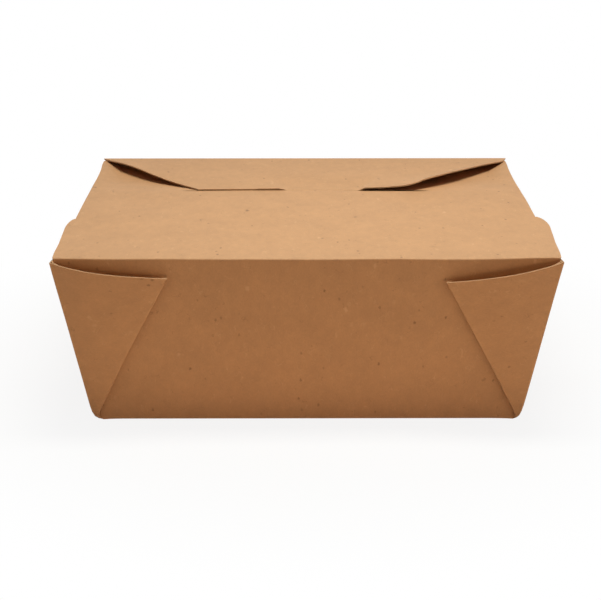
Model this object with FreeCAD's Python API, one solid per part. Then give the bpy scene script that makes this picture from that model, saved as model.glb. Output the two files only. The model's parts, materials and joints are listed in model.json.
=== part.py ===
"""Folded takeaway box in kraft board, closed, as one creased sheet and its locking lid flap.

Frame: millimetres, +Z up, the box standing on Z = 0, origin under the middle of its base.
X runs along the long sides, and -Y is the front, where the front lid flap is creased.

The sheet makes a base, four walls that lean out, and a folded web at each corner, laid flat
on the long wall beside it. Two end flaps fold in first, the front lid flap covers them, and
the rear lid flap lies on top with its tongue bent down through the front flap's slit.
"""
import FreeCAD
import Part
import math
import os

Vector = FreeCAD.Vector

# The board and its creases
board = 0.45                # thickness of the sheet
crease_radius = 0.30        # bead where the board is creased and folded once
layer_gap = 0.20            # air between two layers folded back on each other
double_bead = 0.03          # how far a fold back on itself swells past the two layers
seam_gap = 0.20             # air between a long wall's end fold and the short wall beside it
fillet_limit = 0.9          # the most of a short edge that a rounded corner takes

# The tray
base_width = 152.4
base_depth = 120.6
height = 62.6               # from the table to the top of the long walls' creases
flare = 9.55                # how far each wall leans out over the full height

# The corner webs
web_foot = 2.0              # height up the wall where the layers of a web part
web_top_gap = 0.7           # from a web's top corner up to the long wall's crease
web_fold_length = 64.4      # length of the diagonal fold, from the base corner to the tip
web_slack = 1.2             # degrees that the diagonal stands steeper than a tight fold would
web_lift = 1.2              # how far the tip springs off the wall

# The front lid flap
front_flap_gap = 2.8        # from its far edge to the rear crease
front_flap_inset = 0.4      # how far the flap's crease stops short of the corner, each end
front_flap_sink = 1.7       # how far its far edge lies under its crease
lid_gap = 0.15              # air between its far edge and the end flaps' creases under it
ear_length = 48.5           # from the crease to the end of the ears
ear_overhang = 3.3          # how far an ear stands out past the end of the flap's crease
ear_radius = 4.5
front_flap_waist = 2.4      # how far the rest of the flap lies inside the rim, each side
front_flap_corner = 3.0
slit_clearance = 0.35       # air on each side of the tongue
slit_overrun = 6.2          # how far the slit runs past the tongue's shoulders, each end

# The rear lid flap and its tongue
rear_flap_reach = 51.0      # from its crease to the middle of the bent-down tongue
rear_flap_inset = 0.4
shoulder_width = 84.0
shoulder_lift = 0.20        # air between the flap and the front flap at the slit
left_lock_cut = 34.5        # from the left shoulder to the neck, which isn't in the middle
right_lock_cut = 21.5
lock_cut_gap = 0.9          # height that a lock cut leaves open over the tongue's wing
tongue_inset = 0.2          # how far the wings lie inside the shoulders
tongue_length = 15.0
tongue_taper = 9.0          # how much narrower the tongue's tip is, each side
tongue_corner = 5.0
hinge_clearance = 0.12      # air round the bead that the rear flap turns on

# The end flaps
end_flap_gap = 3.0          # from its tip to the tongue
end_flap_inset = 4.5        # how far the flap's crease stops short of the corner, each end
end_flap_taper = 7.0
end_flap_corner = 14.0
end_flap_dip = 4.0          # degrees that it slopes down into the box

# Worked out from the sizes above
lean = math.atan2(flare, height)
half_board = board / 2
layer_step = board + layer_gap
bead_radius = layer_step / 2 + half_board + double_bead
crease_height = height - crease_radius
wall_length = (crease_height - half_board) / math.cos(lean)
web_length = wall_length - web_top_gap
rim_half_width = base_width / 2 - half_board + wall_length * math.sin(lean)
rim_half_depth = base_depth / 2 - half_board + wall_length * math.sin(lean)
end_rim_drop = front_flap_sink + board + lid_gap
end_wall_length = wall_length - end_rim_drop / math.cos(lean)
front_flap_length = 2 * rim_half_depth - front_flap_gap
slit_length = shoulder_width + 2 * slit_overrun
slit_distance = 2 * rim_half_depth - rear_flap_reach
end_flap_length = rim_half_width - shoulder_width / 2 - end_flap_gap
corner_lean = math.atan(math.tan(lean) * math.cos(lean))
web_angle = math.radians(45 - web_slack) - 2 * corner_lean
LONG_AXIS = Vector(1, 0, 0)
DEPTH_AXIS = Vector(0, 1, 0)

long_wall_foot = Vector(0, half_board - base_depth / 2, half_board)
long_wall_up = Vector(0, -math.sin(lean), math.cos(lean))
long_wall_out = Vector(0, -math.cos(lean), -math.sin(lean))
end_wall_foot = Vector(base_width / 2 - half_board, 0, half_board)
end_wall_up = Vector(math.sin(lean), 0, math.cos(lean))
end_wall_out = Vector(math.cos(lean), 0, -math.sin(lean))


def on_long_wall(across, up, out=0.0):
    """A point by the front wall: across from its middle, up its slope, and out from its mid-plane."""
    return long_wall_foot + LONG_AXIS * across + long_wall_up * up + long_wall_out * out


def on_end_wall(along, up):
    """A point on the right-hand short wall's mid-plane."""
    return end_wall_foot + DEPTH_AXIS * along + end_wall_up * up


def end_wall_across(up, out, inside=0.0):
    """How far across a point by the front wall lies when it is this far inside the short wall's mid-plane."""
    start = on_long_wall(0, up, out)
    return ((end_wall_foot - start).dot(end_wall_out) - inside) / end_wall_out.x


def panel(points, thickness=board):
    """A flat panel of board whose mid-plane has this outline."""
    outline = Part.Face(Part.makePolygon(points + points[:1]))
    normal = outline.normalAt(0, 0)
    outline.translate(normal * (-thickness / 2))
    return outline.extrude(normal * thickness)


def rod(start, end, radius):
    """The rounded bead along a fold."""
    along = end - start
    return Part.makeCylinder(radius, along.Length, start, along)


def rounded(solid, rounds):
    """The panel with rounded corners: each of rounds is a corner on its mid-plane and a radius."""
    for corner, radius in rounds:
        edge = min(solid.Edges, key=lambda e: e.CenterOfMass.distanceToPoint(corner))
        solid = solid.makeFillet(radius, [edge])
    return solid


def left_and_right(solids):
    return solids + [s.mirror(Vector(0, 0, 0), LONG_AXIS) for s in solids]


def front_and_rear(solids):
    return solids + [s.mirror(Vector(0, 0, 0), DEPTH_AXIS) for s in solids]


def base_panel():
    x = end_wall_foot.x
    y = long_wall_foot.y
    z = half_board
    return panel([Vector(-x, y, z), Vector(x, y, z), Vector(x, -y, z), Vector(-x, -y, z)])


def base_creases():
    """The front and right-hand creases round the base."""
    x = end_wall_foot.x
    y = long_wall_foot.y
    z = crease_radius
    return [
        rod(Vector(-x, y, z), Vector(x, y, z), crease_radius),
        rod(Vector(x, y, z), Vector(x, -y, z), crease_radius),
    ]


def end_fold_across(up):
    """Where the front wall's board turns back on itself beside the short wall."""
    return end_wall_across(up, layer_step / 2, half_board + seam_gap + bead_radius)


def long_wall():
    """The front wall, which is closed against the short walls only at its foot."""
    right = [
        on_long_wall(end_wall_across(0, 0), 0),
        on_long_wall(end_wall_across(web_foot, 0), web_foot),
        on_long_wall(end_fold_across(web_foot), web_foot),
        on_long_wall(end_fold_across(wall_length), wall_length),
    ]
    left = [Vector(-p.x, p.y, p.z) for p in reversed(right)]
    return panel(right + left)


def web():
    """The front right corner's web: an inner and an outer layer, joined along the diagonal fold."""
    start = end_fold_across(0)
    tip_across = start - web_fold_length * math.sin(web_angle)
    tip_up = web_fold_length * math.cos(web_angle)
    foot_across = start - web_foot * math.tan(web_angle)
    reach = end_fold_across(tip_up) - tip_across

    def lifted(across, up, out):
        from_fold = end_fold_across(up) - across
        return on_long_wall(across, up, out + web_lift * from_fold / reach)

    def layer(out, foot, top):
        return panel([
            lifted(foot, web_foot, out),
            lifted(top, web_length, out),
            lifted(tip_across, tip_up, out),
            lifted(foot_across - bead_radius / 2, web_foot, out),
        ])

    inner = layer_step
    outer = 2 * layer_step
    middle = (inner + outer) / 2
    corner_foot = end_wall_across(web_foot, outer)
    corner_top = end_wall_across(web_length, outer)
    return [
        layer(inner, end_fold_across(web_foot), end_fold_across(web_length)),
        layer(outer, corner_foot, corner_top),
        rod(
            on_long_wall(end_fold_across(web_foot), web_foot, inner / 2),
            on_long_wall(end_fold_across(web_length), web_length, inner / 2),
            bead_radius,
        ),
        rod(
            lifted(foot_across - bead_radius / 2, web_foot, middle),
            lifted(tip_across, tip_up, middle),
            bead_radius,
        ),
        rod(
            on_long_wall(corner_foot, web_foot, outer),
            on_long_wall(corner_top, web_length, outer),
            crease_radius,
        ),
    ]


def end_wall():
    """The right-hand short wall, from web to web."""
    outer = 2 * layer_step
    foot = on_end_wall(long_wall_foot.y, 0)
    web_bottom = on_long_wall(end_wall_across(web_foot, outer), web_foot, outer)
    web_top = on_long_wall(end_wall_across(web_length, outer), web_length, outer)
    rim = on_end_wall(end_flap_inset / 2 - rim_half_depth, end_wall_length)
    front = [foot, web_bottom, web_top, rim]
    rear = [Vector(p.x, -p.y, p.z) for p in reversed(front)]
    return panel(front + rear)


def end_flap():
    """The right-hand flap, with its crease on the short wall's rim."""
    half = rim_half_depth - end_flap_inset
    dip = math.radians(end_flap_dip)
    inward = Vector(-math.cos(dip), 0, -math.sin(dip)) * end_flap_length
    front = on_end_wall(-half, end_wall_length)
    rear = on_end_wall(half, end_wall_length)
    front_tip = front + inward + DEPTH_AXIS * end_flap_taper
    rear_tip = rear + inward - DEPTH_AXIS * end_flap_taper
    flap = panel([front, rear, rear_tip, front_tip])
    flap = rounded(flap, [(front_tip, end_flap_corner), (rear_tip, end_flap_corner)])
    return [flap, rod(front, rear, crease_radius)]


def front_flap_point(across, out):
    """A point on the front lid flap's mid-plane, this far from its crease."""
    sink = math.asin(front_flap_sink / front_flap_length)
    crease = Vector(across, -rim_half_depth, crease_height)
    return crease + Vector(0, math.cos(sink), -math.sin(sink)) * out


def front_flap():
    """The big lid flap, its ears over the short walls' rims and the slit for the tongue."""
    crease_half = rim_half_width - front_flap_inset
    ear_half = crease_half + ear_overhang
    waist_half = rim_half_width - front_flap_waist
    right = [
        front_flap_point(crease_half, 0),
        front_flap_point(ear_half, ear_length),
        front_flap_point(waist_half, ear_length),
        front_flap_point(waist_half, front_flap_length),
    ]
    left = [Vector(-p.x, p.y, p.z) for p in reversed(right)]
    flap = panel(right + left)
    ear_round = min(ear_radius, fillet_limit * (ear_half - waist_half))
    rounds = [(right[1], ear_round), (left[2], ear_round)]
    rounds += [(right[3], front_flap_corner), (left[0], front_flap_corner)]
    flap = rounded(flap, rounds)
    slot_half = half_board + slit_clearance
    straight = slit_length - 2 * slot_half
    middle = front_flap_point(0, slit_distance)
    depth = 4 * board
    slot = Part.makeBox(
        straight, 2 * slot_half, depth,
        Vector(-straight / 2, middle.y - slot_half, middle.z - depth / 2),
    )
    for side in (-1, 1):
        end = Vector(side * straight / 2, middle.y, middle.z - depth / 2)
        slot = slot.fuse(Part.makeCylinder(slot_half, depth, end))
    crease = rod(front_flap_point(-crease_half, 0), front_flap_point(crease_half, 0), crease_radius)
    return [flap.cut(slot), crease]


def rear_crease(across):
    """A point on the rear lid flap's crease, which is its hinge axis."""
    return Vector(across, rim_half_depth, crease_height)


def rear_flap():
    """The lid flap that locks: its bead, its plate with two shoulders, and the bent-down tongue."""
    half = rim_half_width - rear_flap_inset
    shoulder = shoulder_width / 2
    under = front_flap_point(0, slit_distance)
    edge_y = rim_half_depth - rear_flap_reach
    edge_z = under.z + board + shoulder_lift
    edge_front = edge_y - half_board
    plate = panel([
        rear_crease(half),
        Vector(shoulder, edge_front, edge_z),
        Vector(-shoulder, edge_front, edge_z),
        rear_crease(-half),
    ])
    bead = rod(rear_crease(-half), rear_crease(half), crease_radius)
    neck_left = left_lock_cut - shoulder
    neck_right = shoulder - right_lock_cut
    neck_fold = rod(Vector(neck_left, edge_y, edge_z), Vector(neck_right, edge_y, edge_z), half_board)
    return plate.fuse([bead, neck_fold, tongue(edge_y, edge_z, neck_left, neck_right)])


def tongue(edge_y, edge_z, neck_left, neck_right):
    """The tongue: a curved strip about the hinge axis, so that it draws straight out of the slit."""
    width = 2 * rim_half_width
    start = rear_crease(-rim_half_width)
    ring = Part.makeCylinder(rear_flap_reach + half_board, width, start, LONG_AXIS)
    ring = ring.cut(Part.makeCylinder(rear_flap_reach - half_board, width, start, LONG_AXIS))
    wing_top = edge_z - half_board - lock_cut_gap
    wing = shoulder_width / 2 - tongue_inset
    tip = wing - tongue_taper
    tip_left = Vector(-tip, edge_y, edge_z - tongue_length)
    tip_right = Vector(tip, edge_y, edge_z - tongue_length)
    outline = panel([
        Vector(neck_left, edge_y, edge_z),
        Vector(neck_right, edge_y, edge_z),
        Vector(neck_right, edge_y, wing_top),
        Vector(wing, edge_y, wing_top),
        tip_right,
        tip_left,
        Vector(-wing, edge_y, wing_top),
        Vector(neck_left, edge_y, wing_top),
    ], 2 * tongue_length)
    outline = rounded(outline, [(tip_left, tongue_corner), (tip_right, tongue_corner)])
    return ring.common(outline)


def hinge_seat():
    """The room cleared in the rear wall's top for the bead that the rear flap turns on."""
    half = rim_half_width + board
    return rod(rear_crease(-half), rear_crease(half), crease_radius + hinge_clearance)


def carton():
    walls = left_and_right([end_wall()] + end_flap()) + front_and_rear([long_wall()])
    webs = front_and_rear(left_and_right(web()))
    creases = base_creases()
    creases += [creases[0].mirror(Vector(0, 0, 0), DEPTH_AXIS), creases[1].mirror(Vector(0, 0, 0), LONG_AXIS)]
    sheet = base_panel().fuse(walls + webs + creases + front_flap())
    return sheet.cut(hinge_seat()).removeSplitter()


def write(name, shape):
    print(name, "solids", len(shape.Solids), "valid", shape.isValid(), "volume", round(shape.Volume, 1))
    shape.Solids[0].exportStep("parts/" + name + ".step")


os.makedirs("parts", exist_ok=True)
write("carton", carton())
write("rear_lid_flap", rear_flap())
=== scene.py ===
import bmesh
import bpy
import json
import math
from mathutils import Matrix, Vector, noise


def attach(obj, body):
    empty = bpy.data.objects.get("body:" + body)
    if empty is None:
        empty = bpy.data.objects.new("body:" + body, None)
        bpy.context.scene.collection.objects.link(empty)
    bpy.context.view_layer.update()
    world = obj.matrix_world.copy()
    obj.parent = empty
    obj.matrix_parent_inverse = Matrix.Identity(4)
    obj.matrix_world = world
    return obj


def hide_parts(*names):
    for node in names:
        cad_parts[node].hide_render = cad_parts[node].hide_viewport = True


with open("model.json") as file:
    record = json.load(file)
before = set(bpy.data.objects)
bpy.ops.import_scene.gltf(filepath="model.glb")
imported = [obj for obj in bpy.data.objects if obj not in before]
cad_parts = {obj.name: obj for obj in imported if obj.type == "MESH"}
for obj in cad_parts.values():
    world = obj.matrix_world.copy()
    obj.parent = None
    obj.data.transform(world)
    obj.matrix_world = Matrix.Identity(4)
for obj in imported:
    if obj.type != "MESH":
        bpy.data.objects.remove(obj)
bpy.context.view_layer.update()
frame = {"record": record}

MM = 0.001

# The board, in millimetres like every size of the sheet below
BOARD = 0.45
LAYER_STEP = 0.65        # from one layer to the next where the board is folded back on itself
CREASE_SETBACK = 0.50    # how far from a crease's line its bend starts
FRONT_SETBACK = 0.38     # the same at the front lid flap's crease
BASE_HALF_WIDTH = 75.975
BASE_HALF_DEPTH = 60.075

# Where the creases of the lid run, from the frame
HINGE = Vector(frame["record"]["behaviour"]["joints"][0]["pos_m"]) / MM
RIM_HALF_DEPTH = HINGE.y
CREASE_HEIGHT = HINGE.z
LEAN = math.atan2(RIM_HALF_DEPTH - BASE_HALF_DEPTH, CREASE_HEIGHT - BOARD / 2)
SIN, COS, TAN = math.sin(LEAN), math.cos(LEAN), math.tan(LEAN)
WALL_LENGTH = (CREASE_HEIGHT - BOARD / 2) / COS
RIM_HALF_WIDTH = BASE_HALF_WIDTH + WALL_LENGTH * SIN

# A pair of numbers called a range is where a change starts, and the length over which it grows

# The base and the long walls: side -1 is the front or left, side 1 the rear or right
BASE_CROWN = 0.6         # how far the middle of the base stands up off the table
CORNER_SETBACK = 2.5     # distance from a corner over which a base crease's bend grows
WALL_BOWS = {-1: 0.5, 1: -0.4}    # how far the middle of a long wall bows out
RIM_BACK = 0.9           # how far the ends of the front crease are pressed in behind its middle
RIM_BACK_ACROSS = (62, 20)        # the range, out from the middle
RIM_BACK_UP = (0.7, 0.3)          # the range, as a share of the wall's height
COLUMN_HALF = 84.4       # half the width that the front lid flap's mesh columns are spread over
STRAIGHT_SHARE = 0.93    # the share of them that runs straight, inside the flap's side edges

# The webs
WEB_LENGTHS = {-1: WALL_LENGTH - 0.4, 1: WALL_LENGTH - 1.9}
WEB_CONE = 2.0           # height over which the layers part at the base corner
WEB_INSIDE = 0.98        # from the corner line in to the bend between wall and web
WEB_TIPS = {             # where each diagonal ends, across and up the wall
    (-1, -1): (47.2, 57.3), (1, -1): (46.9, 56.0), (-1, 1): (46.6, 56.4), (1, 1): (47.4, 56.9),
}
WEB_BOWS = {(-1, -1): 2.9, (1, -1): 3.1, (-1, 1): 1.8, (1, 1): 2.1}    # how far each web bulges
WEB_BOW_RISE = 1.6       # power by which the bow grows with height
WEB_BOW_SKEW = 0.85      # power that brings the bow's middle nearer the corner
WEB_STAND_OFF = 1.1      # how far the diagonal fold stands off the wall
WEB_STAND_SHARE = 0.25   # share of the height over which that grows
WEB_BEAD = 0.08          # how much the fold swells
WEB_TIP_LIFT = 0.7       # how much further the fold's upper end springs off
WEB_TIP_POWER = 4
WEB_INNER_DROP = 1.5     # how much lower the inner layer's top edge runs between its ends
WEB_INNER_GAP = 0.25     # how much further out the inner layer lies there

# The end walls and their flaps
END_WALL_BOW = 0.7
END_RIM_LENGTH = WALL_LENGTH - 2.5 / COS
END_CORNER_RISE = {-1: 14.0, 1: 3.2}    # width over which its top rises to the web's corner
END_RISE_POWER = {-1: 0.6, 1: 1.0}
END_FLAP_INSET = {-1: 13.0, 1: 4.5}
END_FLAP_LENGTH = 40.4
END_FLAP_TAPER = 7.0
END_FLAP_CORNER = 14.0
END_FLAP_STEP = 1.1      # how far the flap drops just past its crease
END_FLAP_STEP_LENGTH = 2.0
END_FLAP_SLOPE = 0.07    # and how steeply it goes on down
END_FLAP_ARCH = 0.05     # how far the crease stands over its line

# The front lid flap
FRONT_LENGTH = 2 * RIM_HALF_DEPTH - 1.1
FRONT_RISE = 0.40        # how far the front crease stands above the rear one
FRONT_SINK = 1.5         # how much lower the flap's rear edge lies
FRONT_HALF = RIM_HALF_WIDTH - 0.7
FRONT_CORNER = 1.5
RIM_BACK_FADE = 25       # length over which the flap evens out what its crease is pressed in
EAR_OUTS = {-1: 1.9, 1: 3.0}
EAR_ENDS = {-1: 48.9, 1: 51.0}
EAR_ROUNDS = {-1: 9.5, 1: 11.0}
EAR_SPREAD = 38.0        # length over which the ears grow out
EAR_BLUNTNESS = 1.8
EAR_STEPS = (0.95, 0.7, 0.5, 0.35, 0.22, 0.12, 0.05, 0.01, 0.0)
WAIST_HALF = RIM_HALF_WIDTH - 0.95
CROWN = 0.5
CORNER_SAG = 2.5         # how far the flap sags under the rear flap, left and right
SAG_ALONG = (84, 34)     # the ranges of the sag: along the flap, from its middle, and to its edge
SAG_FROM_MIDDLE = (24, 26)
SAG_TO_EDGE = (75, 10.5)
TIP_RISE = 0.22          # share of the sag by which the rear corners stand up instead
TIP_RISE_ALONG = (108, 26)
TIP_RISE_TO_EDGE = (75, 9)

# The slit, and the lid beside it
SLIT_HALF = 48.2
SLIT_STRAIGHT_HALF = 45.0         # the part of that which gapes fully
SLIT_END_GAP = 0.10      # from the slit's line to either edge, at its ends
SLIT_GAP = 0.19          # and how much more between them
SLIT_BACK = 0.08         # how much further back the rear edge stands
SLIT_TAPER = 3.0         # length over which it closes at each end, and narrows at the neck
SLIT_WIDER = 1.0         # how much wider the slit gapes right of the tongue's neck
NECK_MARGIN = 1.0        # how far inside the neck's edge that starts
NECK_DIP = 0.55          # how far the neck of the tongue presses the lid down behind the slit
NECK_DIP_ASIDE = (12.0, 6.0)      # how far left and right of the neck the lid goes down with it
NECK_DIP_LENGTH = 18

# The rear lid flap
REAR_RIM_GAP = 0.27      # from the rear crease down to the end of the box's own board
REAR_STRIP = 0.12        # how much of the wall's top turns with the flap
REAR_SHIFT = 0.1         # how far the flap's crease lies left of the middle
REACH = 51.0
SHOULDER = 42.0
SHOULDER_LIP = 0.15      # how far the shoulders reach past the tongue's bend
SHOULDER_ROUND = 1.2
FLAP_AIR = 0.12          # between the flap and the lid at the slit
NECK_LEFT = -7.5
NECK_RIGHT = 20.5
NECK_BEND_ASIDE = (2.0, 1.5)      # how far beside the neck the flap bends down with it
NECK_BEND_ALONG = (0.55, 0.45)    # the range, as a share of the reach, like those below
SIDE_COSINE = 0.76       # of the slant of the side edges
CURL_TIGHT = (0.7, 2.6)  # share of the curl close to the edge, and its width
CURL_WIDE = (0.3, 16)
LEFT_FULL = 0.5          # how much fuller the left side edge is at its middle
LEFT_CURL = 1.25         # how far the side edges curl up off the lid
LEFT_CURL_SKEW = 0.65    # power that brings the left curl nearer the crease
LEFT_SETTLE = 0.5        # how far the left side edge lies closer to the lid at its middle
LEFT_LOOSE = 0.25        # how far the shoulders stand off the lid beside the neck
LEFT_LOOSE_GROWTH = 2.0
LEFT_LOOSE_LENGTH = 16.0
LEFT_LOOSE_ALONG = (0.8, 0.2)
RIGHT_ROOT = 2.6         # how much fuller the right side edge is beside its crease
RIGHT_ROOT_PLACE = (0.11, 0.08)   # where along the edge, and over what length
RIGHT_FULL = 1.3         # how much fuller the right side edge is beside its shoulder
RIGHT_FULL_ALONG = (0.45, 0.4)
RIGHT_CURL = 2.5
RIGHT_CURL_ALONG = (0.1, 0.8)
RIGHT_CURL_LOSS = 0.15   # share of the curl that the shoulder takes back
RIGHT_LOSS_ALONG = (0.9, 0.1)
RIGHT_LOOSE = 0.5
RIGHT_LOOSE_GROWTH = 3.0
RIGHT_LOOSE_ALONG = (0.45, 0.5)
TONGUE_BEND_DROP = 0.95  # height over which the neck bends down
TONGUE_WING_DROP = 2.0   # from the crease's height down to the wings' top
TONGUE_DEPTH = 15.5      # and down to their lower edge
TONGUE_INSET = 0.2
TONGUE_TAPER = 9.0
TONGUE_ROUND = 5.0
SLIT_Y = RIM_HALF_DEPTH - REACH

# How the folded box has settled
SPREAD = 1.25            # how much further out than at its foot a corner leans at the rim
SPREAD_FOOT = 0.7        # how far in the corners stand at their foot
SPREAD_ACROSS = (50, 25)
SPREAD_ALONG = (50, 15)
FOOT_WEAR = {-1: 3.6, 1: -2.2}    # how far the corners are worn round at the foot
FOOT_OUT = 0.3
FOOT_HEIGHT = 1.4
FOOT_ACROSS = (65, 10)
FOOT_ALONG = (50, 10)
WOBBLE = 0.30            # how uneven the board is, and the size of its waves
WOBBLE_SIZE = 34.0
CALM = (1.5, 10)         # the range, from the hinge and from the slit
CALM_FOOT = (0.6, 8)

# How far a crease is lightened, row by row across it: real crease wear, and a painted highlight
# where the bend catches the light
WEAR_AND_HIGHLIGHT_ON_CREASE = [0, 0.5, 1, 1, 0.5, 0]
WEAR_AND_HIGHLIGHT_ON_FRONT_CREASE = [0.2, 0.6, 1, 1, 0.6, 0.2]
WEAR_AND_HIGHLIGHT_ON_REAR_CREASE = [0.6, 1, 1, 1, 0.5, 0.2]
WEAR_AND_HIGHLIGHT_ON_NECK = [0.1, 0.3, 0.5, 0.5, 0.3, 0.1]
WEAR_AND_HIGHLIGHT_ON_RIM = 0.3
WEAR_AND_HIGHLIGHT_ON_FOLDS = (0.0, 0.8, 0.7)       # of the inner bend, the diagonal and the box's corner

# Where each panel lies on the plane of the material's pattern, apart from the others
PLACE_WEB = 200.0
PLACE_FOLDS = (500, 540, 580)
PLACE_END_FLAP = 150
PLACE_LID = 125
PLACE_TONGUE = 180
BEND_STEP = 0.2          # from one row of a bend to the next on that plane
FOLD_STEP = 0.15         # the same at the webs' folds

# The mesh
FOLD_PARTS = 8           # faces round a web's fold
WELD = 0.004             # points closer than this become one
SHORT_EDGE = 0.002       # edges shorter than this are dissolved
SHARP_ANGLE = 48         # degrees from which an edge is shaded as a sharp one


def spaced(start, end, count):
    return [start + (end - start) * i / count for i in range(count + 1)]


def merged(*lists):
    """All the values in order, each once."""
    values = sorted(v for values in lists for v in values)
    kept = values[:1]
    for value in values[1:]:
        if value - kept[-1] > 1e-4:
            kept.append(value)
    return kept


def smooth(x):
    x = min(max(x, 0.0), 1.0)
    return x * x * (3 - 2 * x)


def ramp(x, start, length):
    """0 up to start, 1 past start + length, and smooth between them."""
    return smooth((x - start) / length)


def rounded(left, radius):
    """How much a round corner takes off an edge, at this distance from its end."""
    short = max(0.0, radius - left)
    return radius - math.sqrt(radius ** 2 - short ** 2)


class Sheet:
    """The mid-surface of one folded sheet, sewn together from grids of points."""

    def __init__(self):
        self.bm = bmesh.new()
        self.flat = self.bm.loops.layers.uv.new("flat")
        # Per point, how far its colour goes to the pale crease tone: crease wear and a painted
        # highlight on the bends
        self.wear_and_highlight = self.bm.verts.layers.float.new("wear_and_highlight")

    def grid(self, rows, flats, keep=None, wear_and_highlight=0.0):
        """Rows of points, their places on the flat sheet, and keep(i, j) for which faces exist."""
        made = []
        for i, row in enumerate(rows):
            line = [self.bm.verts.new(p) for p in row]
            for v in line:
                v[self.wear_and_highlight] = wear_and_highlight[i] if isinstance(wear_and_highlight, list) else wear_and_highlight
            made.append(line)
        for i in range(len(rows) - 1):
            for j in range(len(rows[i]) - 1):
                if keep and not keep(i, j):
                    continue
                corners = [(i, j), (i, j + 1), (i + 1, j + 1), (i + 1, j)]
                face = self.bm.faces.new([made[a][b] for a, b in corners])
                for loop, (a, b) in zip(face.loops, corners):
                    loop[self.flat].uv = Vector(flats[a][b]) * MM

    def piece(self, name, displace=None):
        bm = self.bm
        bmesh.ops.remove_doubles(bm, verts=bm.verts, dist=WELD)
        bmesh.ops.dissolve_degenerate(bm, edges=bm.edges, dist=SHORT_EDGE)
        loose = [v for v in bm.verts if not v.link_faces]
        bmesh.ops.delete(bm, geom=loose, context="VERTS")
        bmesh.ops.recalc_face_normals(bm, faces=bm.faces)
        for v in bm.verts:
            if displace:
                v.co = v.co + displace(v.co)
            v.co = v.co * MM
        mesh = bpy.data.meshes.new(name)
        bm.to_mesh(mesh)
        bm.free()
        piece = bpy.data.objects.new(name, mesh)
        bpy.context.scene.collection.objects.link(piece)
        return piece


def bend(start, corner, end, count=5):
    """Points round a crease, from one panel to the next."""
    points = []
    for i in range(count + 1):
        s = i / count
        points.append(start * (1 - s) ** 2 + corner * (2 * s * (1 - s)) + end * s ** 2)
    return points


def transposed(rows):
    return [list(column) for column in zip(*rows)]


def long_wall(side, u, h, o=0.0):
    """A point by the front (side -1) or rear wall: across, up its slope, out from its middle."""
    return Vector((u, side * (BASE_HALF_DEPTH + h * SIN + o * COS), BOARD / 2 + h * COS - o * SIN))


def end_wall(side, w, h, o=0.0):
    return Vector((side * (BASE_HALF_WIDTH + h * SIN + o * COS), w, BOARD / 2 + h * COS - o * SIN))


def corner_across(h, o):
    """How far across a layer of the long wall meets the end wall."""
    return BASE_HALF_WIDTH + (h * COS - o * SIN) * TAN


def corner_depth(h, o):
    """How far along the end wall the same point lies, and its height up the end wall."""
    point = long_wall(1, 0, h, o)
    return point.y, (point.z - BOARD / 2) / COS


def cone(h):
    return min(1.0, h / WEB_CONE)


def wall_edge(h):
    """Half the width of the long wall at this height up its slope."""
    return corner_across(h, 0) - WEB_INSIDE * cone(h)


WEB_ROWS = merged([0, 0.012, 0.032, 0.06, 0.1], spaced(0.15, 1.0, 18))
LONG_COLUMNS = merged(
    spaced(-1, 1, 44),
    [side * half / COLUMN_HALF for side in (-1, 1) for half in (SLIT_HALF, SLIT_STRAIGHT_HALF)],
    [side * c for side in (-1, 1) for c in (STRAIGHT_SHARE, 0.985, 0.995)],
)
FOLD_EDGES = {
    side: (RIM_HALF_DEPTH - inset) / corner_depth(WEB_LENGTHS[side], 2 * LAYER_STEP)[0]
    for side, inset in END_FLAP_INSET.items()
}
END_COLUMNS = merged(
    spaced(-1, 1, 36), [FOLD_EDGES[1], -FOLD_EDGES[-1], 0.985, -0.985, 0.96, -0.96],
)


def setback(distance):
    """How far a base crease's bend reaches, less towards the corner."""
    return CREASE_SETBACK * min(1.0, max(0.0, distance) / CORNER_SETBACK)


def wall_bow(side, s, c):
    return WALL_BOWS[side] * math.sin(math.pi * s) * (1 - c * c)


def rim_back(side, u, s):
    """How far the upper end of the front wall is pressed in beside the webs."""
    if side > 0:
        return 0.0
    return RIM_BACK * ramp(abs(u), *RIM_BACK_ACROSS) * ramp(s, *RIM_BACK_UP)


def base_point(ci, cj):
    x = ci * (BASE_HALF_WIDTH - setback(BASE_HALF_DEPTH * (1 - abs(cj))))
    y = cj * (BASE_HALF_DEPTH - setback(BASE_HALF_WIDTH * (1 - abs(ci))))
    crown = BASE_CROWN * (1 - ci * ci) * (1 - cj * cj)
    return Vector((x, y, BOARD / 2 + crown))


def add_base(sheet):
    rows = [[base_point(ci, cj) for ci in LONG_COLUMNS] for cj in END_COLUMNS]
    sheet.grid(rows, [[(p.x, p.y) for p in row] for row in rows])


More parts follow.
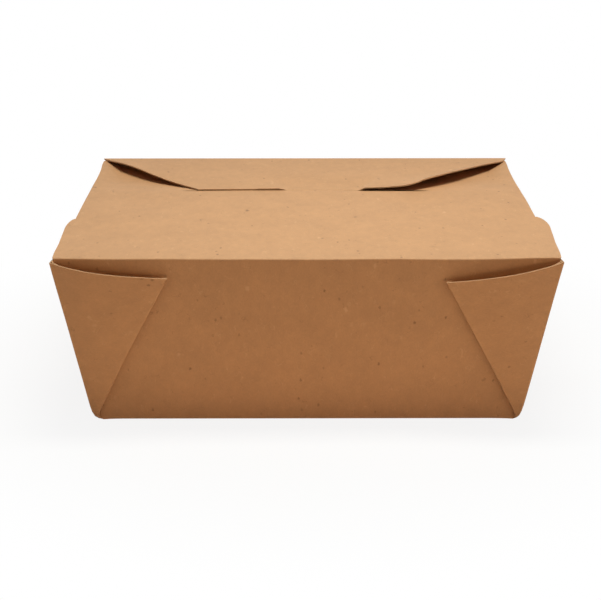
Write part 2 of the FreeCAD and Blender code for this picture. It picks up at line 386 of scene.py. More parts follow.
def add_long_wall(sheet, side):
    """Base crease and wall, up to the web's height and on to the rim's crease."""
    bends = []
    for ci in LONG_COLUMNS:
        u = ci * BASE_HALF_WIDTH
        d = setback(BASE_HALF_WIDTH * (1 - abs(ci)))
        bends.append(bend(base_point(ci, side), long_wall(side, u, 0), long_wall(side, u, d)))
    rows = transposed(bends)
    flats = [
        [(p.x, side * (BASE_HALF_DEPTH + BEND_STEP * i)) for p in row] for i, row in enumerate(rows)
    ]
    sheet.grid(rows, flats, wear_and_highlight=WEAR_AND_HIGHLIGHT_ON_CREASE)
    rows = [rows[-1]]
    heights = [0.0]
    for s in WEB_ROWS[1:]:
        h = s * WEB_LENGTHS[side]
        edge = wall_edge(h)
        rows.append([
            long_wall(side, c * edge, h, wall_bow(side, s, c) - rim_back(side, c * edge, s))
            for c in LONG_COLUMNS
        ])
        heights.append(h)
    top = WALL_LENGTH + (FRONT_RISE - FRONT_SETBACK if side < 0 else -REAR_RIM_GAP)
    edge = wall_edge(WEB_LENGTHS[side])
    rows.append([
        long_wall(side, c * edge, top, -rim_back(side, c * edge, 1.0)) for c in LONG_COLUMNS
    ])
    heights.append(top)
    flats = [
        [(p.x, side * (BASE_HALF_DEPTH + 1 + h)) for p in row] for row, h in zip(rows, heights)
    ]
    sheet.grid(rows, flats, wear_and_highlight=[0] * (len(rows) - 1) + [WEAR_AND_HIGHLIGHT_ON_RIM])
    return rows[-1]


def web_point(side_x, side_y, s, t, layer):
    """A point of a web's layer 1 or 2: s up from its foot, t from the corner to the diagonal."""
    tip_u, tip_h = WEB_TIPS[side_x, side_y]
    between = math.sin(math.pi * t) ** 0.5
    length = WEB_LENGTHS[side_y]
    h = s * (length - (WEB_INNER_DROP * between if layer == 1 else 0))
    k = cone(s * length)
    o = (layer + (WEB_INNER_GAP * between if layer == 1 else 0)) * LAYER_STEP * k
    if layer == 2:
        corner = Vector((corner_across(h, o) - CREASE_SETBACK * k, h))
    else:
        corner = Vector((wall_edge(s * length), h))
    run = Vector((tip_u - BASE_HALF_WIDTH, tip_h))
    inward = Vector((run.y, -run.x)).normalized()
    diagonal = Vector((BASE_HALF_WIDTH, 0)) + run * (h / length) + inward * (LAYER_STEP / 2 * k)
    place = corner.lerp(diagonal, t)
    bow = WEB_BOWS[side_x, side_y] * s ** WEB_BOW_RISE * math.sin(math.pi * t ** WEB_BOW_SKEW)
    stand_off = WEB_BEAD * k + WEB_STAND_OFF * k * smooth(s / WEB_STAND_SHARE)
    return place, o + bow + (stand_off + WEB_TIP_LIFT * s ** WEB_TIP_POWER) * t, inward


def add_web(sheet, sx, sy):
    """The two layers of a web, with the bends at the corner of the box and at the diagonal."""
    shares = spaced(0, 1, 14)

    def placed(place, o):
        return long_wall(sy, sx * place.x, place.y, o)

    layers = {}
    for layer in (1, 2):
        rows = []
        flats = []
        for s in WEB_ROWS:
            found = [web_point(sx, sy, s, t, layer) for t in shares]
            rows.append([placed(place, o) for place, o, inward in found])
            shift = PLACE_WEB * layer
            flats.append([(sx * (shift + p.y), sy * (shift + p.x)) for p, o, inward in found])
        layers[layer] = rows
        sheet.grid(rows, flats)

    inner = []
    diagonal = []
    corner = []
    for i, s in enumerate(WEB_ROWS):
        h = s * WEB_LENGTHS[sy]
        k = cone(h)
        radius = LAYER_STEP / 2 * k
        turn = spaced(0, math.pi, FOLD_PARTS)
        back = rim_back(sy, wall_edge(h), s)
        inner.append([
            long_wall(
                sy, sx * (wall_edge(h) + radius * math.sin(a)), h,
                radius * (1 - math.cos(a)) - back * (1 + math.cos(a)) / 2,
            )
            for a in turn
        ])
        place, o, inward = web_point(sx, sy, s, 1.0, 1)
        diagonal.append([
            placed(place - inward * (radius * math.sin(a)), o + radius * (1 - math.cos(a)))
            for a in turn
        ])
        start = layers[2][i][0]
        o = 2 * LAYER_STEP * k
        middle = long_wall(sy, sx * corner_across(h, o), h, o)
        depth, up = corner_depth(h, o)
        end = end_wall(sx, sy * (depth - CREASE_SETBACK * k), up)
        corner.append(bend(start, middle, end))
    for rows, shift, wear_and_highlight in zip((inner, diagonal, corner), PLACE_FOLDS, WEAR_AND_HIGHLIGHT_ON_FOLDS):
        flats = [
            [(sx * (shift + FOLD_STEP * j), sy * s * WALL_LENGTH) for j in range(len(row))]
            for row, s in zip(rows, WEB_ROWS)
        ]
        sheet.grid(rows, flats, wear_and_highlight=wear_and_highlight)


def end_wall_rows(side):
    rows = []
    for s in WEB_ROWS:
        row = []
        for c in END_COLUMNS:
            end = 1 if c > 0 else -1
            k = cone(s * WEB_LENGTHS[end])
            depth, up = corner_depth(s * WEB_LENGTHS[end], 2 * LAYER_STEP * k)
            depth -= CREASE_SETBACK * k
            w = c * depth
            rise = min(1.0, max(0.0, 1 - (depth - abs(w)) / END_CORNER_RISE[end]))
            rise = rise ** END_RISE_POWER[end]
            middle = s * (END_RIM_LENGTH - CREASE_SETBACK)
            h = middle + (up - middle) * rise
            row.append(end_wall(side, w, h, END_WALL_BOW * math.sin(math.pi * s) * (1 - c * c)))
        rows.append(row)
    return rows


def add_end_wall(sheet, side):
    bends = []
    for cj in END_COLUMNS:
        w = cj * BASE_HALF_DEPTH
        d = setback(BASE_HALF_DEPTH * (1 - abs(cj)))
        bends.append(bend(base_point(side, cj), end_wall(side, w, 0), end_wall(side, w, d)))
    rows = transposed(bends)
    flats = [
        [(side * (BASE_HALF_WIDTH + BEND_STEP * i), p.y) for p in row] for i, row in enumerate(rows)
    ]
    sheet.grid(rows, flats, wear_and_highlight=WEAR_AND_HIGHLIGHT_ON_CREASE)
    rows = [rows[-1]] + end_wall_rows(side)[1:]
    flats = [
        [(side * (BASE_HALF_WIDTH + 1 + s * WALL_LENGTH), p.y) for p in row]
        for row, s in zip(rows, WEB_ROWS)
    ]
    sheet.grid(rows, flats)
    return rows[-1]


def add_end_flap(sheet, side, rim):
    """The flap folded in under the front lid flap, from the end wall's rim."""
    crease_x = BASE_HALF_WIDTH + END_RIM_LENGTH * SIN
    crease_z = BOARD / 2 + END_RIM_LENGTH * COS
    low, high = -FOLD_EDGES[-1] - 1e-3, FOLD_EDGES[1] + 1e-3
    held = [(c, p) for c, p in zip(END_COLUMNS, rim) if low < c < high]

    def flap_point(w, v):
        left = END_FLAP_LENGTH - v
        half = abs(held[0 if w < 0 else -1][1].y)
        reach = half - END_FLAP_TAPER * v / END_FLAP_LENGTH
        reach -= rounded(left, END_FLAP_CORNER)
        dip = END_FLAP_STEP * (1 - math.exp(-v / END_FLAP_STEP_LENGTH)) + v * END_FLAP_SLOPE
        return Vector((side * (crease_x - v), w / half * reach, crease_z - dip))

    bends = []
    for c, p in held:
        crease = Vector((side * crease_x, p.y, crease_z + END_FLAP_ARCH))
        bends.append(bend(p, crease, flap_point(p.y, CREASE_SETBACK)))
    rows = transposed(bends)
    flats = [
        [(side * (PLACE_END_FLAP + BEND_STEP * i), p.y) for p in row] for i, row in enumerate(rows)
    ]
    sheet.grid(rows, flats, wear_and_highlight=WEAR_AND_HIGHLIGHT_ON_CREASE)
    distances = merged([CREASE_SETBACK, 1.0, 1.6, 2.4, 3.4], spaced(5, END_FLAP_LENGTH - 0.4, 16))
    rows = [[flap_point(p.y, v) for c, p in held] for v in distances]
    flats = [[(side * (PLACE_END_FLAP + v), p.y) for p in row] for row, v in zip(rows, distances)]
    sheet.grid(rows, flats)


def front_half_width(side, v):
    """Half the front lid flap's width at this distance from its crease."""
    ear_end = EAR_ENDS[side]
    width = FRONT_HALF + EAR_OUTS[side] * min(1.0, v / EAR_SPREAD)
    start = ear_end - EAR_ROUNDS[side]
    if v > ear_end:
        return WAIST_HALF
    if v > start:
        share = (v - start) / EAR_ROUNDS[side]
        width = WAIST_HALF + (width - WAIST_HALF) * math.sqrt(max(0.0, 1 - share ** EAR_BLUNTNESS))
    return width


def lid_crown(x, y):
    v = (y + RIM_HALF_DEPTH) / (2 * RIM_HALF_DEPTH)
    return CROWN * (1 - (x / RIM_HALF_WIDTH) ** 2) * math.sin(math.pi * min(max(v, 0), 1))


def by_neck(x, left, right):
    """1 at the neck of the tongue, less over these widths beside it."""
    return smooth((x - NECK_LEFT + left) / left) * smooth((NECK_RIGHT + right - x) / right)


def front_flap_point(x, v):
    """A point of the front lid flap: across, and its distance from the crease."""
    slope = FRONT_SINK / FRONT_LENGTH
    y = -RIM_HALF_DEPTH + v + rim_back(-1, x, 1.0) * (1 - smooth(v / RIM_BACK_FADE))
    z = CREASE_HEIGHT + FRONT_RISE - slope * v + lid_crown(x, y)
    sag = ramp(v, *SAG_ALONG) * ramp(abs(x), *SAG_FROM_MIDDLE) * (1 - ramp(abs(x), *SAG_TO_EDGE))
    sag -= TIP_RISE * ramp(v, *TIP_RISE_ALONG) * ramp(abs(x), *TIP_RISE_TO_EDGE)
    behind = y - SLIT_Y
    dip = 0.0
    if behind > 0:
        dip = NECK_DIP * by_neck(x, *NECK_DIP_ASIDE) * (1 - smooth(behind / NECK_DIP_LENGTH))
    return Vector((x, y, z - CORNER_SAG * sag - dip))


def slit_edges(x):
    """How far before and behind its line the slit's edges stand."""
    gap = SLIT_END_GAP + SLIT_GAP * smooth((SLIT_HALF - abs(x)) / SLIT_TAPER)
    right = smooth((x - NECK_RIGHT + NECK_MARGIN) / SLIT_TAPER)
    right *= smooth((SLIT_HALF - x) / SLIT_TAPER)
    return gap + SLIT_WIDER * right, gap + SLIT_BACK


def add_front_flap(sheet, rim):
    slit_v = RIM_HALF_DEPTH + SLIT_Y
    # The rows lie closer together at the crease, the ends of the ears, the slit and the rear edge
    rows_v = merged(
        [FRONT_SETBACK, 1.2, 2.5],
        spaced(5, EAR_SPREAD, 10),
        [EAR_ENDS[side] - EAR_ROUNDS[side] * f for side in (-1, 1) for f in EAR_STEPS],
        [end + 0.05 for end in EAR_ENDS.values()],
        spaced(57, SAG_ALONG[0], 8),
        [85.3, slit_v - 1.7, slit_v, slit_v + 0.6, 90],
        spaced(93, FRONT_LENGTH - 3.5, 11),
        [FRONT_LENGTH - f for f in (2.4, 1.5, 0.8, 0.3, 0.0)],
    )

    def across(c, v):
        side = 1 if c > 0 else -1
        if abs(c) <= STRAIGHT_SHARE:
            return c * COLUMN_HALF
        width = front_half_width(side, v) - rounded(FRONT_LENGTH - v, FRONT_CORNER)
        share = (abs(c) - STRAIGHT_SHARE) / (1 - STRAIGHT_SHARE)
        straight = STRAIGHT_SHARE * COLUMN_HALF
        return side * (straight + (width - straight) * share)

    starts = [front_flap_point(across(c, FRONT_SETBACK), FRONT_SETBACK) for c in LONG_COLUMNS]
    bends = []
    for low, high in zip(rim, starts):
        y = rim_back(-1, low.x, 1.0) - RIM_HALF_DEPTH - FRONT_RISE * TAN
        crease = Vector(((low.x + high.x) / 2, y, CREASE_HEIGHT + FRONT_RISE))
        bends.append(bend(low, crease, high))
    rows = transposed(bends)
    flats = [[(p.x, -(PLACE_LID - 1 + BEND_STEP * i)) for p in row] for i, row in enumerate(rows)]
    sheet.grid(rows, flats, wear_and_highlight=WEAR_AND_HIGHLIGHT_ON_FRONT_CREASE)

    slit_row = rows_v.index(min(rows_v, key=lambda v: abs(v - slit_v)))
    rows = []
    for i, v in enumerate(rows_v):
        if i == slit_row:
            front = []
            rear = []
            for c in LONG_COLUMNS:
                x = across(c, v)
                before, behind = slit_edges(x)
                front.append(front_flap_point(x, v - before))
                rear.append(front_flap_point(x, v + behind))
            rows += [front, rear]
        else:
            rows.append([front_flap_point(across(c, v), v) for c in LONG_COLUMNS])
    flats = [[(p.x, -(PLACE_LID + p.y + RIM_HALF_DEPTH)) for p in row] for row in rows]

    def keep(i, j):
        inside = abs(LONG_COLUMNS[j] + LONG_COLUMNS[j + 1]) / 2 < SLIT_HALF / COLUMN_HALF
        return i != slit_row or not inside

    sheet.grid(rows, flats, keep)


REAR_COLUMNS = merged(
    spaced(-1, 1, 40), [NECK_LEFT / SHOULDER, NECK_RIGHT / SHOULDER, 0.97, -0.97, 0.53, 0.57, 0.62]
)


def rear_half_width(c, v):
    """Half the rear lid flap's width on this side, at this distance from its crease."""
    share = v / REACH
    root = RIM_HALF_WIDTH + (REAR_SHIFT if c < 0 else -REAR_SHIFT)
    half = root + (SHOULDER - root) * share
    if c > 0:
        middle, length = RIGHT_ROOT_PLACE
        half += RIGHT_ROOT * math.exp(-((share - middle) / length) ** 2)
        half += RIGHT_FULL * ramp(share, *RIGHT_FULL_ALONG)
        return half - rounded(REACH - min(v, REACH - 0.2), SHOULDER_ROUND)
    return half + LEFT_FULL * math.sin(math.pi * share)


def rear_flap_point(c, v):
    """A point of the rear lid flap: c across, v from its crease."""
    share = v / REACH
    half = rear_half_width(c, v)
    x = c * half
    y = RIM_HALF_DEPTH - v
    u = c * SHOULDER
    lid_top = front_flap_point(0, RIM_HALF_DEPTH + SLIT_Y).z - lid_crown(0, SLIT_Y) + BOARD / 2
    z = CREASE_HEIGHT + (lid_top + FLAP_AIR + BOARD / 2 - CREASE_HEIGHT) * share
    z += lid_crown(u, SLIT_Y) * share
    z -= NECK_DIP * by_neck(u, *NECK_BEND_ASIDE) * ramp(share, *NECK_BEND_ALONG)
    edge = (half - abs(x)) * SIDE_COSINE
    near = CURL_TIGHT[0] * math.exp(-edge / CURL_TIGHT[1])
    near += CURL_WIDE[0] * (1 - smooth(edge / CURL_WIDE[1]))
    if c < 0:
        curl = LEFT_CURL * math.sin(math.pi * share ** LEFT_CURL_SKEW) ** 3
        curl -= LEFT_SETTLE * math.sin(math.pi * share)
        aside = NECK_LEFT - u
        loose = smooth(aside / LEFT_LOOSE_GROWTH) * smooth(1 - aside / LEFT_LOOSE_LENGTH)
        lift = LEFT_LOOSE * loose * ramp(share, *LEFT_LOOSE_ALONG)
    else:
        curl = RIGHT_CURL * ramp(share, *RIGHT_CURL_ALONG)
        curl *= 1 - RIGHT_CURL_LOSS * ramp(share, *RIGHT_LOSS_ALONG)
        loose = smooth((u - NECK_RIGHT) / RIGHT_LOOSE_GROWTH)
        lift = RIGHT_LOOSE * loose * ramp(share, *RIGHT_LOOSE_ALONG)
    return Vector((x, y, z + curl * near + lift))


def tongue_point(x, z):
    drop = CREASE_HEIGHT - z
    return Vector((x, RIM_HALF_DEPTH - math.sqrt(REACH ** 2 - drop ** 2), z))


def rear_flap_sheet():
    sheet = Sheet()
    rows_v = merged(
        [CREASE_SETBACK, 1.2, 2.5],
        spaced(4.5, 46, 18),
        [47.5, 48.6, 49.4, 50.0, REACH - CREASE_SETBACK],
    )
    up = Vector((0, SIN, COS))
    first = [rear_flap_point(c, rows_v[0]) for c in REAR_COLUMNS]
    bends = []
    for p in first:
        crease = Vector((p.x, RIM_HALF_DEPTH, CREASE_HEIGHT))
        bends.append(bend(crease - up * REAR_STRIP, crease, p))
    rows = transposed(bends)
    flats = [[(p.x, PLACE_LID - 1 + BEND_STEP * i) for p in row] for i, row in enumerate(rows)]
    sheet.grid(rows, flats, wear_and_highlight=WEAR_AND_HIGHLIGHT_ON_REAR_CREASE)
    rows = [[rear_flap_point(c, v) for c in REAR_COLUMNS] for v in rows_v]
    flats = [[(p.x, PLACE_LID + v) for p in row] for row, v in zip(rows, rows_v)]
    sheet.grid(rows, flats)

    edge = rows[-1]
    in_neck = [NECK_LEFT - 1e-3 <= c * SHOULDER <= NECK_RIGHT + 1e-3 for c in REAR_COLUMNS]

    def neck_only(i, j):
        return in_neck[j] and in_neck[j + 1]

    lip = [rear_flap_point(c, REACH) for c in REAR_COLUMNS]
    shoulder_rows = [edge, [Vector((p.x, p.y - SHOULDER_LIP, p.z)) for p in lip]]
    flats = [
        [(p.x, PLACE_LID + REACH + 2 * BEND_STEP * i) for p in row]
        for i, row in enumerate(shoulder_rows)
    ]
    sheet.grid(shoulder_rows, flats, lambda i, j: not neck_only(i, j))

    top = CREASE_HEIGHT - TONGUE_BEND_DROP
    rows = transposed([
        bend(p, q, tongue_point(c * SHOULDER, top)) for p, q, c in zip(edge, lip, REAR_COLUMNS)
    ])
    flats = [[(p.x, PLACE_TONGUE - 2 + BEND_STEP * i) for p in row] for i, row in enumerate(rows)]
    sheet.grid(rows, flats, neck_only, wear_and_highlight=WEAR_AND_HIGHLIGHT_ON_NECK)
    wing_top = CREASE_HEIGHT - TONGUE_WING_DROP
    bottom = CREASE_HEIGHT - TONGUE_DEPTH
    levels = [top, wing_top] + [wing_top - d for d in (2, 4, 6, 8)]
    levels += [bottom + TONGUE_ROUND * f for f in (0.8, 0.6, 0.4, 0.25, 0.12, 0.03)]
    rows = []
    for z in levels:
        share = max(0.0, (wing_top - z) / (wing_top - bottom))
        half = SHOULDER - TONGUE_INSET - TONGUE_TAPER * share - rounded(z - bottom, TONGUE_ROUND)
        if z > wing_top - 1e-6:
            half = SHOULDER
        rows.append([tongue_point(c * half, z) for c in REAR_COLUMNS])
    flats = [[(p.x, PLACE_TONGUE + CREASE_HEIGHT - p.z) for p in row] for row in rows]
    sheet.grid(rows, flats, lambda i, j: i > 0 or neck_only(i, j))
    return sheet


def settled(p):
    """The carton's own unevenness: corners that lean out a little more, worn round at the foot."""
    side = 1 if p.x > 0 else -1
    spread = SPREAD * p.z / CREASE_HEIGHT - SPREAD_FOOT
    spread *= ramp(abs(p.x), *SPREAD_ACROSS) * ramp(abs(p.y), *SPREAD_ALONG)
    near = ramp(abs(p.x), *FOOT_ACROSS) * ramp(abs(p.y), *FOOT_ALONG)
    near *= math.exp(-max(p.z, 0) / FOOT_HEIGHT)
    worn = Vector((FOOT_WEAR[side], FOOT_OUT if p.y > 0 else -FOOT_OUT, 0.0)) * near
    return wobble(p) + Vector((spread * side, 0, 0)) + worn


def wobble(p):
    """The slight unevenness of folded board, calm at the hinge and at the slit.

    Known fault: this noise has no seed set, so Blender draws it anew in each run.
    """
    hinge = (Vector((0, p.y, p.z)) - Vector((0, HINGE.y, HINGE.z))).length
    slit = abs(p.y - SLIT_Y)
    calm = ramp(hinge, *CALM) * ramp(slit, *CALM) * ramp(p.z, *CALM_FOOT)
    field = noise.noise_vector(p / WOBBLE_SIZE, noise_basis="PERLIN_ORIGINAL")
    return field * (WOBBLE * calm)


# The material: tones, and how strongly each mark takes its tone
SURFACE_TONE = (0.575, 0.320, 0.155)
EDGE_TONE = (0.44, 0.25, 0.12)
PALE_TONE = (0.80, 0.52, 0.29)    # of the pale fibres and flecks
DARK_FIBRE_TONE = (0.24, 0.11, 0.045)
SMALL_FLECK_TONE = (0.20, 0.09, 0.035)
LARGE_FLECK_TONE = (0.13, 0.055, 0.02)
# The pale crease tone: real crease wear, and a painted highlight where the folds catch the light
WORN_AND_HIGHLIGHT_TONE = (0.74, 0.45, 0.23)
PALE_FIBRES = 0.30
DARK_FIBRES = 0.34
SMALL_FLECKS = 0.65
LARGE_FLECKS = 0.80
PALE_FLECKS = 0.42
WORN_AND_HIGHLIGHT_LEAST = 0.05
WORN_AND_HIGHLIGHT_MOST = 0.30
CLOUD_SWING = 0.045      # how far each pattern takes the tone down and up
GRAIN_SWING = 0.07
BLOTCH_SWING = 0.035
ROUGHNESS = 0.62
SMOOTHEST = 0.55         # the roughness where the grain is low and high
ROUGHEST = 0.72
SHEEN = 0.42
GRAIN_HEIGHT = 0.6       # what each pattern adds to the relief
BLOTCH_HEIGHT = 0.7
FIBRE_HEIGHT = 0.25
RELIEF_STRENGTH = 0.35
RELIEF_DEPTH = 0.00008   # metres
PATCH_SCALE = 0.8        # of the patches that break the fibres up, and how soft their ends are
PATCH_OFFSET = 3.1
PATCH_EDGE = 0.05
FLECK_STRETCH = 0.62
RAGGED_SCALE = 3.5       # how fine and how strong the flecks' ragged outline is
RAGGED_AMOUNT = 0.45


def kraft(name, tone, edge=False):
    """Unbleached board: cloudy tone, fine grain, curled fibres, small flecks and a faint sheen."""
    material = bpy.data.materials.new(name)
    material.use_nodes = True
    nodes = material.node_tree.nodes
    links = material.node_tree.links
    shader = nodes["Principled BSDF"]
    shader.inputs["Roughness"].default_value = ROUGHNESS
    shader.inputs["Specular IOR Level"].default_value = SHEEN
    where = nodes.new("ShaderNodeTexCoord") if edge else nodes.new("ShaderNodeUVMap")
    if not edge:
        where.uv_map = "flat"
    place = where.outputs["Object" if edge else "UV"]

    def noise_at(scale, detail=3.0, rough=0.55, stretch=None, offset=0.0):
        source = place
        if stretch or offset:
            mapping = nodes.new("ShaderNodeMapping")
            mapping.inputs["Location"].default_value = (offset, offset * 0.7, offset * 0.3)
            mapping.inputs["Scale"].default_value = stretch or (1, 1, 1)
            links.new(place, mapping.inputs["Vector"])
            source = mapping.outputs["Vector"]
        texture = nodes.new("ShaderNodeTexNoise")
        texture.inputs["Scale"].default_value = scale
        texture.inputs["Detail"].default_value = detail
        texture.inputs["Roughness"].default_value = rough
        links.new(source, texture.inputs["Vector"])
        return texture.outputs["Fac"]

    def maths(operation, a, b=None, clamp=False):
        node = nodes.new("ShaderNodeMath")
        node.operation = operation
        node.use_clamp = clamp
        for socket, value in zip(node.inputs, (a, b)):
            if value is None:
                continue
            if isinstance(value, (int, float)):
                socket.default_value = value
            else:
                links.new(value, socket)
        return node.outputs[0]

    def remap(value, low, high, to_low, to_high):
        node = nodes.new("ShaderNodeMapRange")
        node.inputs["From Min"].default_value = low
        node.inputs["From Max"].default_value = high
        node.inputs["To Min"].default_value = to_low
        node.inputs["To Max"].default_value = to_high
        links.new(value, node.inputs["Value"])
        return node.outputs[0]

    def shaded(colour, factor, amount_colour, blend="MULTIPLY"):
        node = nodes.new("ShaderNodeMix")
        node.data_type = "RGBA"
        node.blend_type = blend
        if isinstance(factor, (int, float)):
            node.inputs[0].default_value = factor
        else:
            links.new(factor, node.inputs[0])
        for socket, value in ((node.inputs[6], colour), (node.inputs[7], amount_colour)):
            if isinstance(value, tuple):
                socket.default_value = (*value, 1)
            else:
                links.new(value, socket)
        return node.outputs[2]

    def fibres(scale, width, cover, offset, stretch):
        """Thin curled lines broken into short lengths."""
        curls = noise_at(scale, 1.0, 0.4, stretch, offset)
        line = maths("ABSOLUTE", maths("SUBTRACT", curls, 0.5))
        line = remap(line, 0.0, width, 1.0, 0.0)
        patches = noise_at(scale * PATCH_SCALE, 1.0, 0.5, stretch, offset + PATCH_OFFSET)
        patches = remap(patches, cover, cover + PATCH_EDGE, 0.0, 1.0)
        return maths("MULTIPLY", line, patches)

    def flecks(scale, size, share, offset):
        """A few small spots, each in its own cell."""
        mapping = nodes.new("ShaderNodeMapping")
        mapping.inputs["Location"].default_value = (offset, offset, 0)
        mapping.inputs["Scale"].default_value = (1.0, FLECK_STRETCH, 1.0)
        mapping.inputs["Rotation"].default_value = (0, 0, offset)
        ragged = nodes.new("ShaderNodeTexNoise")
        ragged.inputs["Scale"].default_value = scale * RAGGED_SCALE
        links.new(place, ragged.inputs["Vector"])
        moved = nodes.new("ShaderNodeVectorMath")
        moved.operation = "MULTIPLY_ADD"
        moved.inputs[1].default_value = (RAGGED_AMOUNT / scale, RAGGED_AMOUNT / scale, 0.0)
        links.new(ragged.outputs["Color"], moved.inputs[0])
        links.new(place, moved.inputs[2])
        links.new(moved.outputs[0], mapping.inputs["Vector"])
        cells = nodes.new("ShaderNodeTexVoronoi")
        cells.inputs["Scale"].default_value = scale
        links.new(mapping.outputs["Vector"], cells.inputs["Vector"])
        spot = remap(cells.outputs["Distance"], size * 0.5, size, 1.0, 0.0)
        chosen = nodes.new("ShaderNodeSeparateColor")
        links.new(cells.outputs["Color"], chosen.inputs[0])
        pick = maths("GREATER_THAN", chosen.outputs[0], 1 - share)
        return maths("MULTIPLY", maths("MULTIPLY", spot, pick), chosen.outputs[1])

    def varied(colour, pattern, reach, swing):
        """The tone, darker where the pattern is low and lighter where it is high."""
        factor = remap(pattern, 0.5 - reach, 0.5 + reach, 1 - swing, 1 + swing)
        return shaded(colour, 1.0, grey(nodes, links, factor))

    def marked(colour, marks, strength, mark_tone):
        return shaded(colour, maths("MULTIPLY", marks, strength), mark_tone, "MIX")

    clouds = noise_at(scale=75.0, detail=4.0, rough=0.6)
    grain = noise_at(scale=1900.0, detail=3.0, rough=0.65, stretch=(1.0, 0.55, 1.0))
    blotches = noise_at(scale=420.0, detail=3.0, rough=0.6, stretch=(1.0, 0.6, 1.0), offset=1.7)
    colour = varied(tone, clouds, 0.2, CLOUD_SWING)
    colour = varied(colour, grain, 0.25, GRAIN_SWING)
    colour = varied(colour, blotches, 0.2, BLOTCH_SWING)
    pale = fibres(scale=430.0, width=0.014, cover=0.53, offset=0.4, stretch=(1.0, 0.6, 1.0))
    dark = fibres(scale=360.0, width=0.012, cover=0.60, offset=5.2, stretch=(0.8, 1.0, 1.0))
    colour = marked(colour, pale, PALE_FIBRES, PALE_TONE)
    colour = marked(colour, dark, DARK_FIBRES, DARK_FIBRE_TONE)
    small = flecks(scale=480.0, size=0.24, share=0.14, offset=0.31)
    large = flecks(scale=170.0, size=0.14, share=0.09, offset=1.13)
    pale_flecks = flecks(scale=280.0, size=0.22, share=0.14, offset=2.41)
    colour = marked(colour, small, SMALL_FLECKS, SMALL_FLECK_TONE)
    colour = marked(colour, large, LARGE_FLECKS, LARGE_FLECK_TONE)
    colour = marked(colour, pale_flecks, PALE_FLECKS, PALE_TONE)
    if not edge:
        # Creases and folds lightened to the pale tone: partly crease wear, partly a painted
        # highlight along the bends
        worn = nodes.new("ShaderNodeAttribute")
        worn.attribute_name = "wear_and_highlight"
        uneven = remap(blotches, 0.35, 0.65, WORN_AND_HIGHLIGHT_LEAST, WORN_AND_HIGHLIGHT_MOST)
        colour = marked(colour, worn.outputs["Fac"], uneven, WORN_AND_HIGHLIGHT_TONE)
    links.new(colour, shader.inputs["Base Color"])
    links.new(remap(grain, 0.2, 0.8, SMOOTHEST, ROUGHEST), shader.inputs["Roughness"])

    height = maths("MULTIPLY", grain, GRAIN_HEIGHT)
    height = maths("ADD", height, maths("MULTIPLY", blotches, BLOTCH_HEIGHT))
    height = maths("ADD", height, maths("MULTIPLY", pale, FIBRE_HEIGHT))
    bump = nodes.new("ShaderNodeBump")
    bump.inputs["Strength"].default_value = RELIEF_STRENGTH
    bump.inputs["Distance"].default_value = RELIEF_DEPTH
    links.new(height, bump.inputs["Height"])
    links.new(bump.outputs["Normal"], shader.inputs["Normal"])
    return material


def grey(nodes, links, value):
    combine = nodes.new("ShaderNodeCombineColor")
    for socket in combine.inputs:
        links.new(value, socket)
    return combine.outputs[0]


def thickened(piece, materials):
    """Gives the sheet its board thickness, with the cut edges in their own tone."""
    for material in materials:
        piece.data.materials.append(material)
    solidify = piece.modifiers.new("board", "SOLIDIFY")
    solidify.thickness = BOARD * MM
    solidify.offset = 0
    solidify.use_quality_normals = True
    solidify.material_offset_rim = 1
    depsgraph = bpy.context.evaluated_depsgraph_get()
    mesh = bpy.data.meshes.new_from_object(piece.evaluated_get(depsgraph))
    piece.modifiers.clear()
    piece.data = mesh
    mesh.name = piece.name
    bm = bmesh.new()
    bm.from_mesh(mesh)
    bmesh.ops.recalc_face_normals(bm, faces=bm.faces)
    for face in bm.faces:
        face.smooth = True
    bm.to_mesh(mesh)
    bm.free()
    mesh.set_sharp_from_angle(angle=math.radians(SHARP_ANGLE))
    return piece


def build_box():
    surface = kraft("kraft_surface", SURFACE_TONE)
    cut = kraft("kraft_cut_edge", EDGE_TONE, edge=True)

    sheet = Sheet()
    add_base(sheet)
    front_rim = add_long_wall(sheet, -1)
    add_long_wall(sheet, 1)
    for sx in (-1, 1):
        rim = add_end_wall(sheet, sx)
        add_end_flap(sheet, sx, rim)
        for sy in (-1, 1):
            add_web(sheet, sx, sy)
    add_front_flap(sheet, front_rim)
    carton = thickened(sheet.piece("folded_carton", settled), (surface, cut))
    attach(carton, "box")
    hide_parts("carton")

    lid = thickened(rear_flap_sheet().piece("rear_flap_board", wobble), (surface, cut))
    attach(lid, "rear_lid_flap")
    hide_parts("rear_lid_flap")


# The surroundings, in metres and watts
FLOOR_SIZE = 6.0
FLOOR_TONE = (0.93, 0.93, 0.92)
FLOOR_BOUNCE_TONE = (0.93, 0.68, 0.48)    # of the light that the floor throws on the box
SHADOW_FROM = 0.08       # distance from the middle where the floor starts to fade to white
SHADOW_TO = 0.18         # and where it is white
SHADOW_FADE = 0.88       # share of white close to the box
FILL_STRENGTH = 0.045    # of the world's soft light
FILL_TONE = (1.0, 0.90, 0.78)
TOP_PLACE = (0.025, -0.04, 0.41)
TOP_TARGET = (0.025, -0.04, 0)
TOP_SIZE = (0.22, 0.08)
TOP_POWER = 1.34
TOP_TONE = (1.0, 0.98, 0.90)
LOW_TARGET = (0, 0, 0.03)
LOW_TONE = (1.0, 0.74, 0.53)
FRONT_PLACE = (0.32, -0.82, 0.03)
FRONT_SIZE = (0.6, 0.05)
FRONT_POWER = 0.60
LOW_PLACE = (0.98, 0.72, 0.03)
LOW_SIZE = (0.7, 0.05)
LOW_POWERS = {(-1, -1): 1.2, (1, -1): 1.7, (-1, 1): 1.9, (1, 1): 1.9}    # by corner of the box


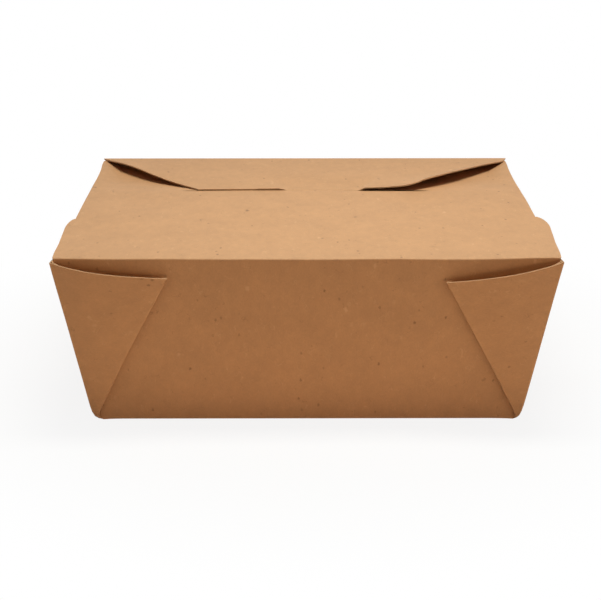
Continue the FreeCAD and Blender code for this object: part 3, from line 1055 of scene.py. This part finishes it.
def seen_directly(nodes, links):
    """1 for the rays that show the floor or the surround: direct, off a sheen or through glass."""
    path = nodes.new("ShaderNodeLightPath")
    seen = path.outputs["Is Camera Ray"]
    for kind in ("Is Glossy Ray", "Is Transmission Ray"):
        larger = nodes.new("ShaderNodeMath")
        larger.operation = "MAXIMUM"
        links.new(seen, larger.inputs[0])
        links.new(path.outputs[kind], larger.inputs[1])
        seen = larger.outputs[0]
    return seen


def build_floor():
    """A pale floor that keeps the box's shadow, and a white surround."""
    bm = bmesh.new()
    bmesh.ops.create_grid(bm, x_segments=8, y_segments=8, size=FLOOR_SIZE / 2)
    mesh = bpy.data.meshes.new("floor")
    bm.to_mesh(mesh)
    bm.free()
    floor = bpy.data.objects.new("floor", mesh)
    bpy.context.scene.collection.objects.link(floor)
    material = bpy.data.materials.new("pale_floor")
    material.use_nodes = True
    nodes = material.node_tree.nodes
    links = material.node_tree.links
    nodes.clear()
    output = nodes.new("ShaderNodeOutputMaterial")
    tone = nodes.new("ShaderNodeMix")
    tone.data_type = "RGBA"
    tone.inputs[6].default_value = (*FLOOR_BOUNCE_TONE, 1)
    tone.inputs[7].default_value = (*FLOOR_TONE, 1)
    sight = seen_directly(nodes, links)
    links.new(sight, tone.inputs[0])
    paint = nodes.new("ShaderNodeBsdfDiffuse")
    links.new(tone.outputs[2], paint.inputs["Color"])
    glow = nodes.new("ShaderNodeEmission")
    glow.inputs["Strength"].default_value = 1.0
    where = nodes.new("ShaderNodeTexCoord")
    distance = nodes.new("ShaderNodeVectorMath")
    distance.operation = "LENGTH"
    links.new(where.outputs["Object"], distance.inputs[0])
    away = nodes.new("ShaderNodeMapRange")
    away.interpolation_type = "SMOOTHSTEP"
    away.inputs["From Min"].default_value = SHADOW_FROM
    away.inputs["From Max"].default_value = SHADOW_TO
    away.inputs["To Min"].default_value = SHADOW_FADE
    away.inputs["To Max"].default_value = 1.0
    links.new(distance.outputs["Value"], away.inputs["Value"])
    seen = nodes.new("ShaderNodeMath")
    seen.operation = "MULTIPLY"
    links.new(away.outputs[0], seen.inputs[1])
    links.new(sight, seen.inputs[0])
    mix = nodes.new("ShaderNodeMixShader")
    links.new(seen.outputs[0], mix.inputs[0])
    links.new(paint.outputs[0], mix.inputs[1])
    links.new(glow.outputs[0], mix.inputs[2])
    links.new(mix.outputs[0], output.inputs["Surface"])
    mesh.materials.append(material)


def build_world():
    world = bpy.data.worlds.new("studio")
    bpy.context.scene.world = world
    world.use_nodes = True
    nodes = world.node_tree.nodes
    links = world.node_tree.links
    nodes.clear()
    output = nodes.new("ShaderNodeOutputWorld")
    fill = nodes.new("ShaderNodeBackground")
    fill.inputs["Color"].default_value = (*FILL_TONE, 1)
    fill.inputs["Strength"].default_value = FILL_STRENGTH
    white = nodes.new("ShaderNodeBackground")
    white.inputs["Color"].default_value = (1, 1, 1, 1)
    white.inputs["Strength"].default_value = 1.0
    mix = nodes.new("ShaderNodeMixShader")
    links.new(seen_directly(nodes, links), mix.inputs[0])
    links.new(fill.outputs[0], mix.inputs[1])
    links.new(white.outputs[0], mix.inputs[2])
    links.new(mix.outputs[0], output.inputs["Surface"])


def area_light(name, place, target, size, power, colour):
    data = bpy.data.lights.new(name, "AREA")
    data.shape = "RECTANGLE"
    data.size, data.size_y = size
    data.energy = power
    data.color = colour
    light = bpy.data.objects.new(name, data)
    light.location = place
    light.rotation_euler = (Vector(target) - Vector(place)).to_track_quat("-Z", "Y").to_euler()
    bpy.context.scene.collection.objects.link(light)


def build_lights():
    area_light("top_soft", TOP_PLACE, TOP_TARGET, TOP_SIZE, TOP_POWER, TOP_TONE)
    area_light("front_fill", FRONT_PLACE, LOW_TARGET, FRONT_SIZE, FRONT_POWER, LOW_TONE)
    out, back, up = LOW_PLACE
    for (sx, sy), power in LOW_POWERS.items():
        area_light("low_fill", (sx * out, sy * back, up), LOW_TARGET, LOW_SIZE, power, LOW_TONE)


# The camera, fitted to the corners of the base, the rim and the lid in the photograph
CAMERA_PLACE = (-0.0039, -0.5273, 0.2120)
CAMERA_PITCH = 19.69     # degrees
CAMERA_YAW = 0.21
FOCAL_PIXELS = 1439.0
PHOTO_WIDTH = 601
SENSOR_WIDTH = 36.0


def build_camera():
    data = bpy.data.cameras.new("camera")
    data.sensor_width = SENSOR_WIDTH
    data.lens = FOCAL_PIXELS / PHOTO_WIDTH * SENSOR_WIDTH
    camera = bpy.data.objects.new("camera", data)
    camera.location = CAMERA_PLACE
    camera.rotation_euler = (math.radians(90 - CAMERA_PITCH), 0, math.radians(-CAMERA_YAW))
    bpy.context.scene.collection.objects.link(camera)
    bpy.context.scene.camera = camera


build_box()
build_floor()
build_world()
build_lights()
build_camera()
bpy.context.scene.view_settings.view_transform = "Standard"
